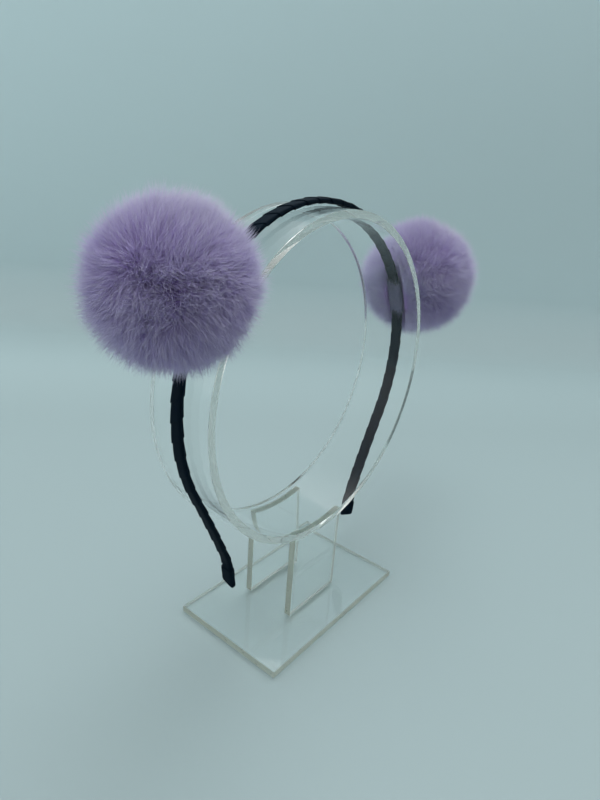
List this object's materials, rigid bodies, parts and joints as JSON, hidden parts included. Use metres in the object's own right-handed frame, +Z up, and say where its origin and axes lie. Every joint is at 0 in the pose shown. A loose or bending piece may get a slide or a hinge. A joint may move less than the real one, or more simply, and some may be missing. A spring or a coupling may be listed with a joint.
{
  "type": "pompom headband on a clear display stand",
  "caption": "Thin ribbon-wound headband with fluffy lilac fur pompoms, resting over the broad hoop of a clear acrylic display stand.",
  "frame": {"origin": "middle of the underside of the stand's base plate", "axes": "+Z up, +X across the headband from ear to ear towards the right pompom, +Y along the hoop's axis away from the viewer"},
  "size_m": [0.1997, 0.0537, 0.1773],
  "materials": {
    "satin_ribbon": "black satin ribbon with a soft sheen",
    "lilac_fur": "soft dense plush fur",
    "lilac_loop": "matt woven backing",
    "clear_acrylic": "clear polished sheet with pale green-grey edges"
  },
  "bodies": {
    "root": {"ribbon_band": "satin_ribbon", "band_tip_left": "satin_ribbon", "band_tip_right": "satin_ribbon", "pompom_left": "lilac_fur", "pompom_right": "lilac_fur", "pompom_loop_left": "lilac_loop", "pompom_loop_right": "lilac_loop", "stand_base": "clear_acrylic", "stand_upright_front": "clear_acrylic", "stand_upright_back": "clear_acrylic", "stand_hoop": "clear_acrylic"}
  },
  "joints": []
}
